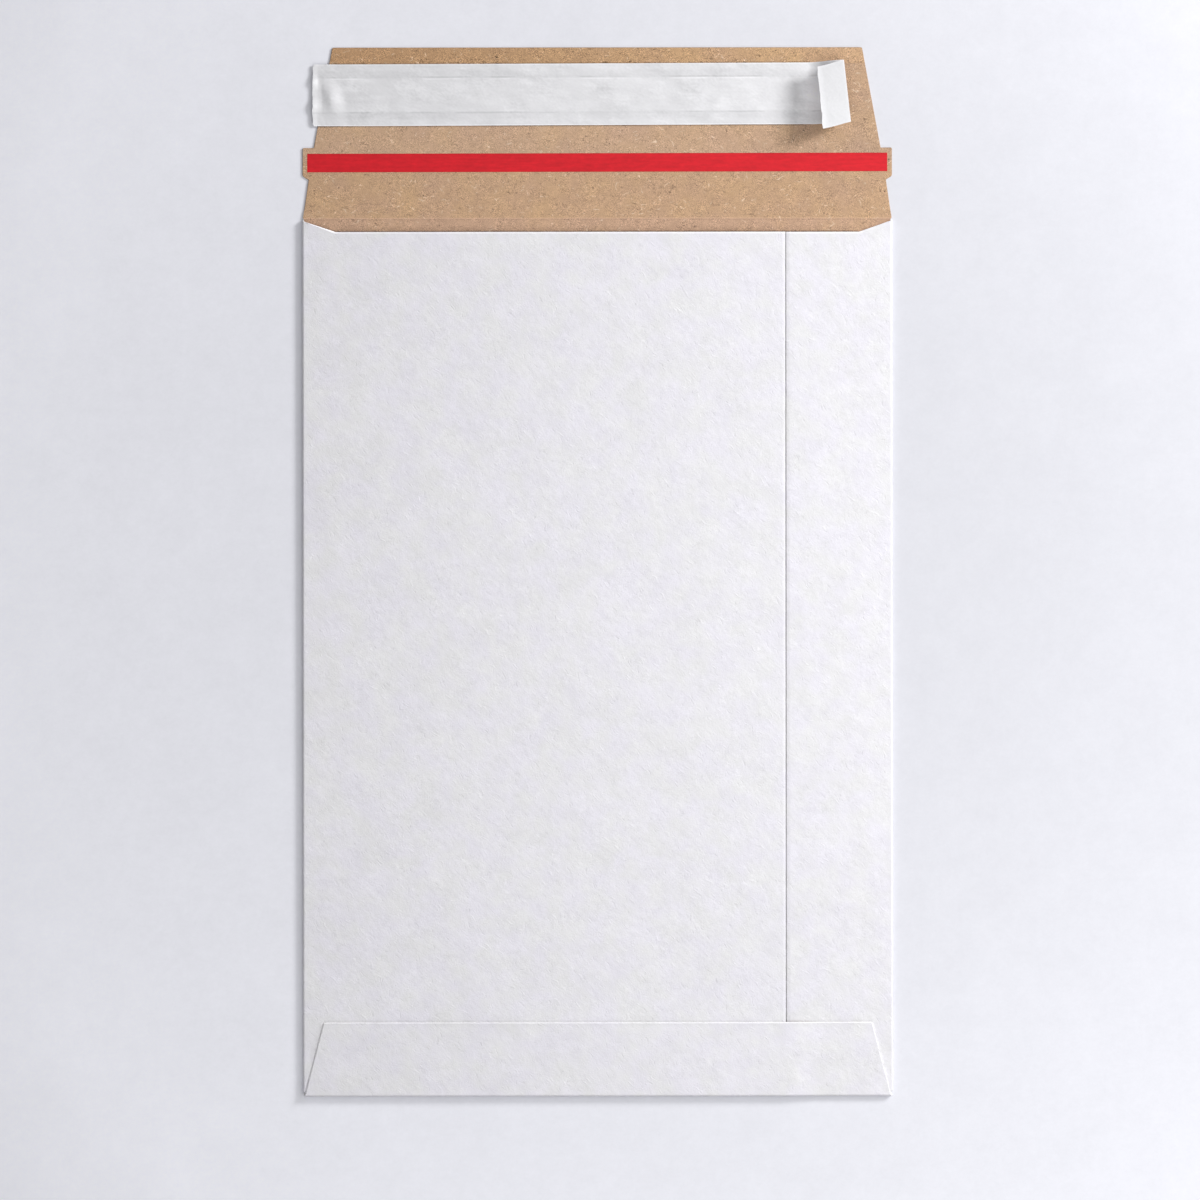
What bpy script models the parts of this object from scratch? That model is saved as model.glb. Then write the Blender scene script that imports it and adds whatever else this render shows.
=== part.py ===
"""Calendar envelope: a mailing envelope folded and glued from one blank of solid board.

It lies on its back panel, with the seam side up and the closing flap open.
+X runs to the right across the seam side, +Y from the bottom fold to the closing
flap, and +Z up. The origin is on the surface it lies on, below the middle.
"""

import math

import bmesh
import bpy
from mathutils import Vector

MM = 0.001
ACROSS = Vector((1, 0, 0))
ALONG = Vector((0, 1, 0))

# Body
BODY_WIDTH = 235 * MM
BODY_HEIGHT = 350 * MM  # from the bottom fold to the closing flap's crease
BOARD = 0.6 * MM
STRIP_GAP = 0.3 * MM  # free space between the back panel and the narrow front strip

# Front panels, joined by the side seam
SEAM_FROM_RIGHT = 42.6 * MM  # the wide panel's cut edge, from the right-hand fold
SEAM_OVERLAP = 18 * MM
MOUTH_DROP = 5.6 * MM  # the mouth's edge, below the crease
CHAMFER_WIDTH = 13.2 * MM
PANEL_CLEARANCE = 0.3 * MM  # the panels' bottom edges, above the bottom fold's bend

# Bottom flap, folded up over both front panels
BOTTOM_FLAP = 29.6 * MM
BOTTOM_FLAP_TAPER = 8.3 * MM  # its upper corners, in from the body's sides
FOLD_INSET = 0.3 * MM  # its ends at the fold, in from the body's sides
SEAM_STEP_START = 0.5 * MM  # it starts to step down this far past the seam
SEAM_STEP_LENGTH = 8 * MM

# Tear tape, across the closing flap
TAPE = 0.06 * MM
TAPE_WIDTH = 7.4 * MM
TAPE_HEIGHT = 22.1 * MM  # its middle, above the crease
TAPE_MARGIN = 1.9 * MM  # in from each tear tab's end

# Release liner, above the tear tape
LINER = 0.08 * MM
LINER_WIDTH = 24.6 * MM
LINER_ABOVE_TAPE = 11.2 * MM
LINER_LEFT_MARGIN = 4.1 * MM  # in from the body's side
LINER_DRAPE = 0.8 * MM  # run over which the liner comes down beside the adhesive
LIFT_FOLD_MARGIN = 17.7 * MM  # the finger lift's fold, in from the body's side
LIFT_FOLD_TILT = math.radians(6.4)
LIFT_FOLD_RADIUS = 0.5 * MM
LIFT_RUN = 14 * MM  # run over which the liner rises to that fold
LIFT_HEIGHT = 5 * MM
LIFT_LEAF = 11.8 * MM  # turned back past the fold
LIFT_OPENING = math.radians(25)

# Adhesive strip, under the middle of the liner
ADHESIVE = 0.1 * MM
ADHESIVE_WIDTH = 13.5 * MM
ADHESIVE_LEFT_MARGIN = 8.6 * MM  # in from the body's side
ADHESIVE_TO_LIFT = 2.3 * MM  # its right end, before the liner starts to rise

# Closing flap's edge and crease
FLAP_MARGIN = 6.4 * MM  # flap left above the liner
FLAP_CREASE_INSET = 0.2 * MM  # its corners at the crease, in from the body's sides
FLAP_EDGE_INSET = 11.9 * MM  # its upper corners
CREASE_WIDTH = 0.8 * MM
CREASE_DEPTH = 0.12 * MM
CORNER_RADIUS = 0.6 * MM

# Tear tabs, which run out to the body's full width at the tape's ends
TAB_ABOVE_TAPE = 2.2 * MM
TAB_BELOW_TAPE = 1.7 * MM
TAB_ROOT_BELOW_TAPE = 3.2 * MM
TAB_ROOT_INSET = 2.4 * MM  # the flap's side below the tab, in from the body's side
TAB_NECK_INSET = 4.5 * MM  # the flap's side above the tab

# Glue films
GLUE = 0.08 * MM
BOND_GAP = 0.01 * MM  # between a film and each face it sticks to
SEAM_GLUE_WIDTH = 9 * MM
SEAM_GLUE_MARGIN = 6 * MM  # the glue's ends, in from the panels' ends
BOTTOM_GLUE_WIDTH = 12 * MM
BOTTOM_GLUE_MARGIN = 5 * MM  # in from the bottom flap's edge, its corners and the seam

# Facets
FOLD_SEGMENTS = 8
STEP_SEGMENTS = 6
CREASE_SEGMENTS = 6
CORNER_SEGMENTS = 4
LIFT_SEGMENTS = 5
DRAPE_SEGMENTS = 2
SMOOTH_ANGLE = math.radians(35)
TOLERANCE = 0.001 * MM

# Places that follow from the sizes above
HALF_WIDTH = BODY_WIDTH / 2
LINER_LOW = TAPE_HEIGHT + TAPE_WIDTH / 2 + LINER_ABOVE_TAPE
TOP_FLAP = LINER_LOW + LINER_WIDTH + FLAP_MARGIN
BOTTOM_Y = -(BODY_HEIGHT + TOP_FLAP) / 2
CREASE_Y = BOTTOM_Y + BODY_HEIGHT
CREASE_ROOT_Y = CREASE_Y - CREASE_WIDTH / 2
MOUTH_Y = CREASE_Y - MOUTH_DROP
TAPE_Y = CREASE_Y + TAPE_HEIGHT
LINER_Y = CREASE_Y + LINER_LOW + LINER_WIDTH / 2
SEAM_X = HALF_WIDTH - SEAM_FROM_RIGHT
STRIP_X = SEAM_X - SEAM_OVERLAP
STEP_X = SEAM_X + SEAM_STEP_START
LIFT_FOLD_X = HALF_WIDTH - LIFT_FOLD_MARGIN - LIFT_FOLD_RADIUS
LINER_LEFT = -HALF_WIDTH + LINER_LEFT_MARGIN
ADHESIVE_LEFT = -HALF_WIDTH + ADHESIVE_LEFT_MARGIN
ADHESIVE_RIGHT = LIFT_FOLD_X - LIFT_RUN - ADHESIVE_TO_LIFT

# Heights of the stacked layers, as the outside height of each folded pair
FILM_SPACE = GLUE + 2 * BOND_GAP
STRIP_TOP = BOARD + STRIP_GAP + BOARD
PANEL_TOP = STRIP_TOP + FILM_SPACE + BOARD
FLAP_TOP_ON_PANEL = PANEL_TOP + FILM_SPACE + BOARD
FLAP_TOP_ON_STRIP = STRIP_TOP + FILM_SPACE + BOARD

# Outside radius of each fold, and the distance from the middle where its bend starts
LEFT_RADIUS = PANEL_TOP / 2
RIGHT_RADIUS = STRIP_TOP / 2
LEFT_START = HALF_WIDTH - LEFT_RADIUS
RIGHT_START = HALF_WIDTH - RIGHT_RADIUS
BOTTOM_RADIUS = FLAP_TOP_ON_PANEL / 2
BOTTOM_RADIUS_ON_STRIP = FLAP_TOP_ON_STRIP / 2
BOTTOM_START_Y = BOTTOM_Y + BOTTOM_RADIUS
PANEL_BOTTOM_Y = BOTTOM_START_Y + PANEL_CLEARANCE


def clear_scene():
    for obj in list(bpy.data.objects):
        bpy.data.objects.remove(obj, do_unlink=True)


def make_material(name, color, roughness):
    material = bpy.data.materials.new(name)
    material.use_nodes = True
    shader = material.node_tree.nodes["Principled BSDF"]
    shader.inputs["Base Color"].default_value = (*color, 1)
    shader.inputs["Roughness"].default_value = roughness
    shader.inputs["Metallic"].default_value = 0
    return material


def smoothstep(share):
    share = min(max(share, 0), 1)
    return share * share * (3 - 2 * share)


def bend(distance, radius, turn=math.pi):
    """Where a point of a sheet lands that lies this far past the start of a bend.

    Gives the run along the sheet's first direction, and the rise above it.
    """
    angle = min(max(distance / radius, 0), turn)
    past = distance - angle * radius
    run = radius * math.sin(angle) + past * math.cos(angle)
    rise = radius * (1 - math.cos(angle)) + past * math.sin(angle)
    return run, rise


def side_outline(side, start, radius, cut_edge):
    """One side of the flat blank, from the bottom flap's edge up to the closing flap's corner.

    side is 1 on the right and -1 on the left, and cut_edge is where the front
    panel's edge lies once it is folded over.
    """
    panel_end = start + math.pi * radius + (start - side * cut_edge)
    chamfer_end = start + math.pi * radius + (start - HALF_WIDTH + CHAMFER_WIDTH)
    fold_end = HALF_WIDTH - FOLD_INSET
    half_bend = math.pi / 2 * BOTTOM_RADIUS
    flap_end_y = BOTTOM_START_Y - 2 * half_bend - (BOTTOM_FLAP - BOTTOM_RADIUS)
    tape_low, tape_high = TAPE_Y - TAPE_WIDTH / 2, TAPE_Y + TAPE_WIDTH / 2
    points = [
        (HALF_WIDTH - BOTTOM_FLAP_TAPER, flap_end_y),
        (fold_end, BOTTOM_START_Y - half_bend),
        (fold_end, BOTTOM_START_Y),
        (start, PANEL_BOTTOM_Y),
        (panel_end, PANEL_BOTTOM_Y),
        (panel_end, MOUTH_Y),
        (chamfer_end, MOUTH_Y),
        (start, CREASE_ROOT_Y),
        (HALF_WIDTH - FLAP_CREASE_INSET, CREASE_Y),
        (HALF_WIDTH - TAB_ROOT_INSET, tape_low - TAB_ROOT_BELOW_TAPE),
        (HALF_WIDTH, tape_low - TAB_BELOW_TAPE),
        (HALF_WIDTH, tape_high + TAB_ABOVE_TAPE),
        (HALF_WIDTH - TAB_NECK_INSET, tape_high + TAB_ABOVE_TAPE),
        (HALF_WIDTH - FLAP_EDGE_INSET, CREASE_Y + TOP_FLAP),
    ]
    return [Vector((side * x, y, 0)) for x, y in points]


def cut(bm, point, normal, low_y=-math.inf, high_y=math.inf):
    """Cuts the faces between two heights along a line through the point, across the normal."""
    faces = [f for f in bm.faces if low_y < f.calc_center_median().y < high_y]
    edges = {e for f in faces for e in f.edges}
    verts = {v for f in faces for v in f.verts}
    bmesh.ops.bisect_plane(
        bm,
        geom=faces + list(edges) + list(verts),
        dist=TOLERANCE,
        plane_co=point,
        plane_no=normal,
    )


def round_corners(bm, corners):
    """Rounds the blank's outer die-cut corners, each given as an outline point."""
    chosen = [v for v in bm.verts if any((v.co - c).length < TOLERANCE for c in corners)]
    bmesh.ops.bevel(
        bm,
        geom=chosen,
        offset=CORNER_RADIUS,
        segments=CORNER_SEGMENTS,
        profile=0.5,
        affect="VERTICES",
        material=-1,
    )


def outer_corners(side_points):
    """The bottom flap's corner, the tear tab's two corners and the closing flap's corner."""
    return [side_points[i] for i in (0, -4, -3, -1)]


def flat_blank():
    """The blank as a flat sheet, cut along the lines where it will bend."""
    right = side_outline(1, RIGHT_START, RIGHT_RADIUS, STRIP_X)
    left = side_outline(-1, LEFT_START, LEFT_RADIUS, SEAM_X)
    bm = bmesh.new()
    bm.faces.new([bm.verts.new(point) for point in right + left[::-1]])
    round_corners(bm, outer_corners(right) + outer_corners(left))

    for y in (PANEL_BOTTOM_Y, CREASE_ROOT_Y):
        cut(bm, (0, y, 0), ALONG)
    for i in range(1, CREASE_SEGMENTS + 1):
        y = CREASE_ROOT_Y + CREASE_WIDTH * i / CREASE_SEGMENTS
        cut(bm, (0, y, 0), ALONG, low_y=CREASE_ROOT_Y)
    for i in range(FOLD_SEGMENTS + 1):
        turned = math.pi * i / FOLD_SEGMENTS
        cut(bm, (0, BOTTOM_START_Y - turned * BOTTOM_RADIUS, 0), ALONG, high_y=PANEL_BOTTOM_Y)
        for x in (-LEFT_START - turned * LEFT_RADIUS, RIGHT_START + turned * RIGHT_RADIUS):
            cut(bm, (x, 0, 0), ACROSS, PANEL_BOTTOM_Y, CREASE_ROOT_Y)
    for i in range(STEP_SEGMENTS + 1):
        x = STEP_X + SEAM_STEP_LENGTH * i / STEP_SEGMENTS
        cut(bm, (x, 0, 0), ACROSS, high_y=PANEL_BOTTOM_Y)
    return bm


def bottom_radius_at(x):
    """The bottom fold's outside radius, which drops where the flap steps down past the seam."""
    share = smoothstep((x - STEP_X) / SEAM_STEP_LENGTH)
    return BOTTOM_RADIUS + share * (BOTTOM_RADIUS_ON_STRIP - BOTTOM_RADIUS)


def fold_bottom(co):
    radius = bottom_radius_at(co.x)
    distance = (BOTTOM_START_Y - co.y) * radius / BOTTOM_RADIUS
    bent = math.pi * radius
    if distance > bent:
        stretch = (BOTTOM_FLAP - radius) * BOTTOM_RADIUS
        stretch /= (BOTTOM_FLAP - BOTTOM_RADIUS) * radius
        distance = bent + (distance - bent) * stretch
    run, rise = bend(distance, radius)
    co.y = BOTTOM_Y + radius - run
    co.z = rise


def fold_blank(bm):
    """Bends the flat blank round its side and bottom folds, and presses in the crease."""
    for v in bm.verts:
        co = v.co
        on_panel = PANEL_BOTTOM_Y - TOLERANCE < co.y < CREASE_ROOT_Y + TOLERANCE
        if on_panel and co.x > RIGHT_START:
            run, co.z = bend(co.x - RIGHT_START, RIGHT_RADIUS)
            co.x = RIGHT_START + run
        elif on_panel and co.x < -LEFT_START:
            run, co.z = bend(-LEFT_START - co.x, LEFT_RADIUS)
            co.x = -LEFT_START - run
        elif co.y < BOTTOM_START_Y + TOLERANCE:
            fold_bottom(co)
        elif abs(co.y - CREASE_Y) < CREASE_WIDTH / 2:
            across_crease = math.pi * (co.y - CREASE_Y) / CREASE_WIDTH
            co.z = CREASE_DEPTH * math.cos(across_crease) ** 2


def add_object(name, bm, materials):
    mesh = bpy.data.meshes.new(name)
    bmesh.ops.recalc_face_normals(bm, faces=bm.faces[:])
    bm.to_mesh(mesh)
    bm.free()
    for material in materials:
        mesh.materials.append(material)
    mesh.shade_smooth()
    mesh.set_sharp_from_angle(angle=SMOOTH_ANGLE)
    obj = bpy.data.objects.new(name, mesh)
    bpy.context.scene.collection.objects.link(obj)
    return obj


def thicken_inwards(bm, thickness, inner_material=0):
    """Turns the folded skin into a sheet of even thickness, on the inner side of its folds."""
    bm.normal_update()
    largest = max(bm.faces, key=lambda f: f.calc_area())
    if largest.normal.z > 0:
        bmesh.ops.reverse_faces(bm, faces=bm.faces[:])
    outer = set(bm.faces)
    bmesh.ops.solidify(bm, geom=bm.faces[:], thickness=thickness)
    for face in bm.faces:
        if face not in outer:
            face.material_index = inner_material


def envelope_board(white, kraft):
    """The folded blank, with white outer faces, and kraft inner faces and cut edges."""
    bm = flat_blank()
    fold_blank(bm)
    thicken_inwards(bm, BOARD, inner_material=1)
    return add_object("envelope_board", bm, [white, kraft])


def slab(name, low, high, material):
    """A flat film between two corners."""
    bm = bmesh.new()
    bmesh.ops.create_cube(bm, size=1)
    low, high = Vector(low), Vector(high)
    bmesh.ops.scale(bm, vec=high - low, verts=bm.verts)
    bmesh.ops.translate(bm, vec=(low + high) / 2, verts=bm.verts)
    return add_object(name, bm, [material])


def tear_tape(material):
    half_length = HALF_WIDTH - TAPE_MARGIN
    under_z = BOARD + BOND_GAP
    return slab(
        "tear_tape",
        (-half_length, TAPE_Y - TAPE_WIDTH / 2, under_z),
        (half_length, TAPE_Y + TAPE_WIDTH / 2, under_z + TAPE),
        material,
    )


def adhesive_strip(material):
    under_z = BOARD + BOND_GAP
    return slab(
        "adhesive_strip",
        (ADHESIVE_LEFT, LINER_Y - ADHESIVE_WIDTH / 2, under_z),
        (ADHESIVE_RIGHT, LINER_Y + ADHESIVE_WIDTH / 2, under_z + ADHESIVE),
        material,
    )


def side_seam_glue(material):
    middle_x = SEAM_X - SEAM_OVERLAP / 2
    under_z = STRIP_TOP + BOND_GAP
    return slab(
        "side_seam_glue",
        (middle_x - SEAM_GLUE_WIDTH / 2, PANEL_BOTTOM_Y + SEAM_GLUE_MARGIN, under_z),
        (middle_x + SEAM_GLUE_WIDTH / 2, MOUTH_Y - SEAM_GLUE_MARGIN, under_z + GLUE),
        material,
    )


def bottom_glue(name, low_x, high_x, panel_top, material):
    high_y = BOTTOM_Y + BOTTOM_FLAP - BOTTOM_GLUE_MARGIN
    under_z = panel_top + BOND_GAP
    return slab(
        name,
        (low_x, high_y - BOTTOM_GLUE_WIDTH, under_z),
        (high_x, high_y, under_z + GLUE),
        material,
    )


def bottom_glue_films(material):
    """One film on the wide panel and one on the narrow strip, each clear of the step between them."""
    end_x = HALF_WIDTH - BOTTOM_FLAP_TAPER - BOTTOM_GLUE_MARGIN
    step_end_x = STEP_X + SEAM_STEP_LENGTH
    bottom_glue("bottom_glue_on_panel", -end_x, SEAM_X - BOTTOM_GLUE_MARGIN, PANEL_TOP, material)
    bottom_glue("bottom_glue_on_strip", step_end_x, end_x, STRIP_TOP, material)


def flat_liner(fold_middle, fold_normal, turn):
    """The liner before it is shaped, cut along the adhesive's outline and the lift's bend lines."""
    length = LIFT_FOLD_X + turn * LIFT_FOLD_RADIUS + LIFT_LEAF - LINER_LEFT
    bm = bmesh.new()
    bmesh.ops.create_grid(bm, x_segments=1, y_segments=1, size=0.5)
    bmesh.ops.scale(bm, vec=(length, LINER_WIDTH, 1), verts=bm.verts)
    bmesh.ops.translate(bm, vec=(LINER_LEFT + length / 2, LINER_Y, 0), verts=bm.verts)
    for i in range(DRAPE_SEGMENTS + 1):
        drape = LINER_DRAPE * i / DRAPE_SEGMENTS
        for side in (-1, 1):
            cut(bm, (0, LINER_Y + side * (ADHESIVE_WIDTH / 2 + drape), 0), ALONG)
        for x in (ADHESIVE_LEFT - drape, ADHESIVE_RIGHT + drape):
            cut(bm, (x, 0, 0), ACROSS)
    for i in range(LIFT_SEGMENTS + 1):
        before = LIFT_RUN * (1 - i / LIFT_SEGMENTS)
        cut(bm, fold_middle - before * fold_normal, fold_normal)
    for i in range(1, FOLD_SEGMENTS + 1):
        past = turn * LIFT_FOLD_RADIUS * i / FOLD_SEGMENTS
        cut(bm, fold_middle + past * fold_normal, fold_normal)
    return bm


def raised_by_adhesive(co):
    """How far the adhesive under it holds the liner off the flap."""
    past_end = max(ADHESIVE_LEFT - co.x, co.x - ADHESIVE_RIGHT)
    past_side = abs(co.y - LINER_Y) - ADHESIVE_WIDTH / 2
    return (ADHESIVE + BOND_GAP) * smoothstep(1 - max(past_end, past_side) / LINER_DRAPE)


def release_liner(material):
    """The liner lies over the adhesive, and its right end is turned back as a finger lift."""
    fold_middle = Vector((LIFT_FOLD_X, LINER_Y, 0))
    fold_normal = Vector((math.cos(LIFT_FOLD_TILT), math.sin(LIFT_FOLD_TILT), 0))
    turn = math.pi - LIFT_OPENING
    bm = flat_liner(fold_middle, fold_normal, turn)
    for v in bm.verts:
        distance = (v.co - fold_middle).dot(fold_normal)
        run, rise = bend(distance, LIFT_FOLD_RADIUS, turn)
        lift = LIFT_HEIGHT * smoothstep(1 + distance / LIFT_RUN)
        v.co.z = BOARD + BOND_GAP + raised_by_adhesive(v.co) + lift + rise
        v.co += fold_normal * (run - distance)
    thicken_inwards(bm, LINER)
    return add_object("release_liner", bm, [material])


def main():
    clear_scene()
    white = make_material("white_board_face", (0.86, 0.86, 0.88), 0.75)
    kraft = make_material("kraft_board_face", (0.52, 0.33, 0.19), 0.9)
    red = make_material("red_tear_film", (0.66, 0.025, 0.035), 0.35)
    adhesive = make_material("clear_adhesive", (0.8, 0.78, 0.7), 0.3)
    release_paper = make_material("white_release_paper", (0.84, 0.84, 0.86), 0.4)
    glue = make_material("pale_glue", (0.75, 0.7, 0.58), 0.5)
    envelope_board(white, kraft)
    tear_tape(red)
    adhesive_strip(adhesive)
    release_liner(release_paper)
    side_seam_glue(glue)
    bottom_glue_films(glue)


main()
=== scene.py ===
import math

import bmesh
import bpy
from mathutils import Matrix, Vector, noise


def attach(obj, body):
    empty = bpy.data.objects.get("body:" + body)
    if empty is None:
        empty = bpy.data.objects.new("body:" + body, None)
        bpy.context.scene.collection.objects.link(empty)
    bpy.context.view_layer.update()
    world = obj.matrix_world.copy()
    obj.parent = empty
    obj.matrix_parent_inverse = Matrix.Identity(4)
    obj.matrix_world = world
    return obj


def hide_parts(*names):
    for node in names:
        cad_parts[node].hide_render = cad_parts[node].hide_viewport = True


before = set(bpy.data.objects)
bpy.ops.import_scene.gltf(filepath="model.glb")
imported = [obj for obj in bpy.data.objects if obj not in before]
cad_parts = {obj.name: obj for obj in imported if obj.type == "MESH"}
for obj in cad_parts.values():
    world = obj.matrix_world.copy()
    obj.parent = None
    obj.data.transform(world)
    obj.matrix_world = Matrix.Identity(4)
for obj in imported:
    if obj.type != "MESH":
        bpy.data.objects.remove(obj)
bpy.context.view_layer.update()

MM = 0.001
ACROSS = Vector((1, 0, 0))
ALONG = Vector((0, 1, 0))

# Body, as in the frame
HALF_WIDTH = 117.5 * MM
BOARD = 0.6 * MM
SHEET_GAP = 0.01 * MM
BOTTOM_Y = -209 * MM
CREASE_Y = 141 * MM
FLAP_END_Y = 209 * MM
MOUTH_Y = 135.4 * MM
SEAM_X = 74.9 * MM
STRIP_X = 56.9 * MM
PANEL_BOTTOM_Y = -207.25 * MM
STRIP_TOP = 1.5 * MM
PANEL_TOP = 2.2 * MM
FLAP_TOP_ON_PANEL = 2.9 * MM
FLAP_TOP_ON_STRIP = 2.2 * MM
CHAMFER_WIDTH = 13.2 * MM
BOTTOM_FLAP = 29.6 * MM
BOTTOM_FLAP_TAPER = 8.3 * MM
BOTTOM_FLAP_END_Y = BOTTOM_Y + BOTTOM_FLAP
FOLD_INSET = 0.3 * MM
NICK_WIDTH = 4 * MM
NICK_LENGTH = 3 * MM

# Folds: an upright wall between two rounded corners
LEFT_CORNER = 0.8 * MM
RIGHT_CORNER = 0.75 * MM
BOTTOM_CORNER = 0.9 * MM
LEFT_START = HALF_WIDTH - LEFT_CORNER
RIGHT_START = HALF_WIDTH - RIGHT_CORNER
BOTTOM_START_Y = BOTTOM_Y + BOTTOM_CORNER
CORNER_SEGMENTS = 8
WALL_SEGMENTS = 2
SHOULDER = 0.3 * MM  # flat face kept beside a fold, so that it shades as flat

# The bottom flap steps down past the side seam
STEP_X = SEAM_X + 0.5 * MM
STEP_LENGTH = 14 * MM
STEP_SEGMENTS = 14

# The strip is pressed in along the wide panel's cut edge, which is crushed down a little
PRESS_DEPTH = 0.27 * MM
PRESS_RUN = 0.5 * MM
PRESS_UNDER = 1.5 * MM
PRESS_CUTS = (-PRESS_UNDER / PRESS_RUN, 0, 0.25, 0.5, 0.75, 1)  # where the strip is cut, in runs
LIP_DROP = 0.14 * MM
LIP_RUN = 0.75 * MM
LIP_CUTS = (0.25, 0.5, 0.75, 1, 1.5)  # where the panel is cut, in runs
LIP_POWER = 1.5

# Closing flap
FLAP_CREASE_INSET = 0.2 * MM
FLAP_EDGE_INSET = 11.9 * MM
CREASE_WIDTH = 0.8 * MM
CREASE_DEPTH = 0.12 * MM
CREASE_SEGMENTS = 8
DIE_RADIUS = 0.6 * MM
DIE_SEGMENTS = 5
DIE_CORNERS = (0, -4, -3, -1)  # in a side outline: bottom flap's, both of the tab, closing flap's
TAPE_Y = 163.1 * MM
TAPE_WIDTH = 7.4 * MM
TAPE_END_X = 115.6 * MM
TAPE = 0.06 * MM
TAPE_SKEW = 0.0012
TAPE_CELLS = (231, 7)
TAPE_RIPPLE = 0.012 * MM
TAPE_RIPPLE_LENGTH = 2.5 * MM
TAB_TOP_Y = TAPE_Y + TAPE_WIDTH / 2 + 2.2 * MM
TAB_BOTTOM_Y = TAPE_Y - TAPE_WIDTH / 2 - 1.7 * MM
TAB_ROOT_Y = TAPE_Y - TAPE_WIDTH / 2 - 3.2 * MM
TAB_ROOT_INSET = 2.4 * MM
TAB_NECK_INSET = 4.5 * MM

# Board surface
GRID = 5 * MM
RIM_ROUNDING = 0.26 * MM
PANEL_ROUNDING = 0.42 * MM
RIM_SEGMENTS = 3
WAVE_HEIGHT = 0.1 * MM
WAVE_LENGTH = 70 * MM
WAVE_FADE = 20 * MM
TOLERANCE = 0.001 * MM
BOARD_SHARP = math.radians(40)  # faces that meet at more than this don't shade as one
PAPER_SHARP = math.radians(50)
KRAFT, RIM, FLAP_RIM = 1, 2, 3  # the board's materials after its white face
UNCOATED = 1  # the liner's material after its coated face

# Release liner
LINER = 0.08 * MM
LINER_WIDTH = 24.6 * MM
LINER_Y = 190.3 * MM
LINER_LEFT = -113.4 * MM
LINER_UNDER = BOARD + SHEET_GAP
LINER_CELL = 0.5 * MM
LINER_SKEW = 0.0035
LIFT_FOLD_X = 98.95 * MM
LIFT_FOLD_TILT = math.radians(6.4)
LIFT_FOLD_RADIUS = 0.5 * MM
LIFT_FOLD_CUTS = 8
LIFT_RUN = 14 * MM
LIFT_HEIGHT = 4.8 * MM
LIFT_SIDEWAYS = 0.35 * MM
LIFT_LEAF = 11.8 * MM
LIFT_LEAF_SIDEWAYS = -0.65 * MM
LIFT_TURN = math.radians(180 - 21)
LIFT_TWIST = math.radians(11)
LIFT_END_SLANT = -0.18
LIFT_END_SLANT_RUN = 9 * MM
LIFT_END_EXTRA = 0.1 * MM
LIFT_FOLD_MIDDLE = Vector((LIFT_FOLD_X, LINER_Y, 0))
LIFT_FOLD_NORMAL = Vector((math.cos(LIFT_FOLD_TILT), math.sin(LIFT_FOLD_TILT), 0))
LINER_RIGHT = LIFT_FOLD_X + LIFT_TURN * LIFT_FOLD_RADIUS + LIFT_LEAF  # of the flat strip
TEAR_LEFT = 0.35 * MM
TEAR_LEFT_RUN = 3 * MM
TEAR_RIGHT = 0.45 * MM
TEAR_RIGHT_RUN = 5 * MM
TEAR_WAVES = ((2.6 * MM, 5), (7 * MM, 9))  # length, and the row of noise it is read from
CORNER_WORN = 0.6 * MM
ADHESIVE_LEFT = -108.9 * MM
ADHESIVE_RIGHT = 83 * MM
ADHESIVE_HALF = 6.75 * MM
ADHESIVE_RAISE = 0.11 * MM
DRAPE = 0.8 * MM

# Ridges in the liner: x, y, half length, half width, height in millimetres, and turn in degrees
LINER_RIDGES = (
    (-99.0, 196.9, 10.0, 1.0, 0.16, -6),
    (-78.0, 189.0, 6.0, 3.0, 0.20, 60),
    (-38.0, 184.2, 9.0, 1.5, 0.14, 8),
    (12.0, 198.6, 12.0, 1.3, 0.16, -3),
    (48.0, 187.0, 8.0, 3.0, 0.18, 65),
    (66.0, 198.2, 9.0, 1.2, 0.16, -5),
)

# Ripples in the liner, stronger beside the adhesive, and finer crinkles all over
RIPPLE_LENGTH = 11 * MM
RIPPLE_WIDTH = 4 * MM
RIPPLE_HEIGHT = 0.2 * MM
RIPPLE_LEVEL = 0.35
RIPPLE_ON_ADHESIVE = 0.35
RIPPLE_GROWTH = 3 * MM
RIPPLE_SLICE = 3
CRINKLE_LENGTH = 3.2 * MM
CRINKLE_HEIGHT = 0.035 * MM
CRINKLE_LEVEL = 0.8
CRINKLE_SLICE = 7

# The liner's loose left end, all in millimetres. A bump is its middle, half width and height.
CURL_LEAST = 0.25
CURL_BUMPS = ((5.5, 2, 0.7), (-4.4, 2.2, 0.85), (-9.4, 1.6, 0.3))
DIP_AT = 3.6
DIP_HEIGHT = 0.3
BLISTER_AT = 7.4
BLISTER_LEAST = 0.2
BLISTER_BUMP = (-1.1, 5.5, 0.85)
FLAT_FROM = 13
LOOSE_SLANT = 0.2
LOOSE_SLANT_RUN = 4

# Camera and light
VIEW_X = 0.94 * MM
VIEW_Y = -11.3 * MM
VIEW_HEIGHT = 1600 * MM
VIEW_LENS = 120.37
VIEW_ROLL = -0.00098
VIEW_SENSOR = 36
VIEW_NEAR = 0.01
VIEW_FAR = 50
KEY_TURN = math.radians(31)
KEY_RISE = math.radians(28.5)
KEY_DISTANCE = 1.079
KEY_SIZE = 0.334
KEY_POWER = 9.014
FILL_TURN = math.radians(-38)
FILL_RISE = math.radians(64)
FILL_DISTANCE = 0.496
FILL_SIZE = 0.8
FILL_POWER = 1.684
SKY = 0.28

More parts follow.
